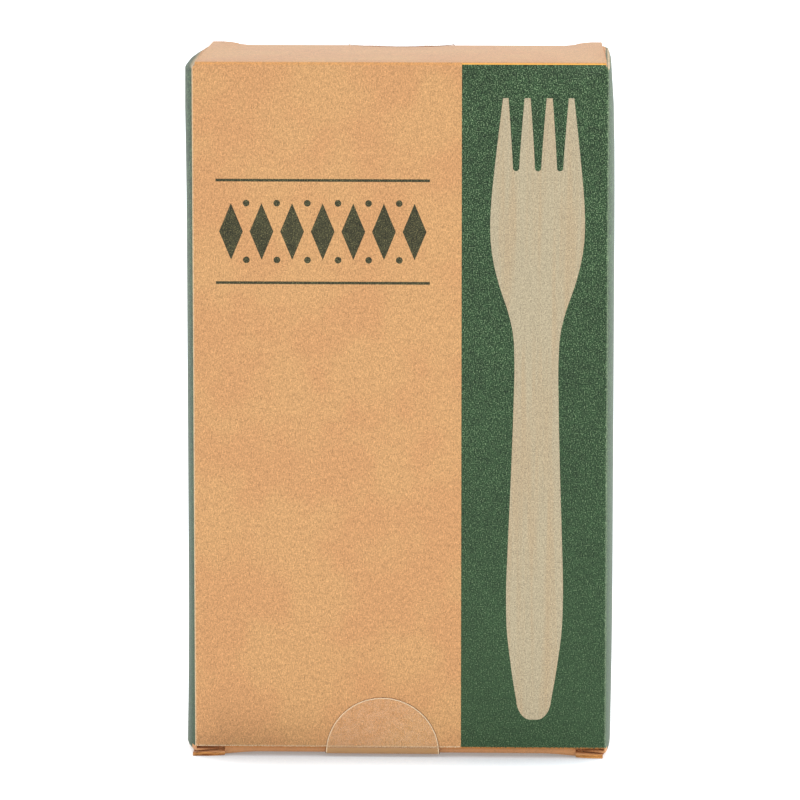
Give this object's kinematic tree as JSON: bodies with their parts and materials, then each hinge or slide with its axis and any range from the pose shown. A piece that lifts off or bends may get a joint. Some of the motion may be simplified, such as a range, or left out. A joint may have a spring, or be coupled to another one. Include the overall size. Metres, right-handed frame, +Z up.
{
  "type": "carton of wooden forks",
  "caption": "Upright closed kraft paperboard carton for wooden forks, with a tuck lid at each end held shut by a round film seal.",
  "frame": {"origin": "centre of the carton's outer box, on the surface that it stands on", "axes": "+Z up, the front panel faces -Y, +X to the right of someone who looks at the front panel"},
  "size_m": [0.1096, 0.0602, 0.1778],
  "materials": {
    "carton_board": "uncoated brown kraft board with a matt dark green printed band, pale where the folds have worn",
    "seal_film": "thin clear film, slightly hazy, with a bright cut rim"
  },
  "bodies": {
    "root": {"carton": "carton_board", "seal_top": "seal_film", "seal_bottom": "seal_film"}
  },
  "joints": []
}
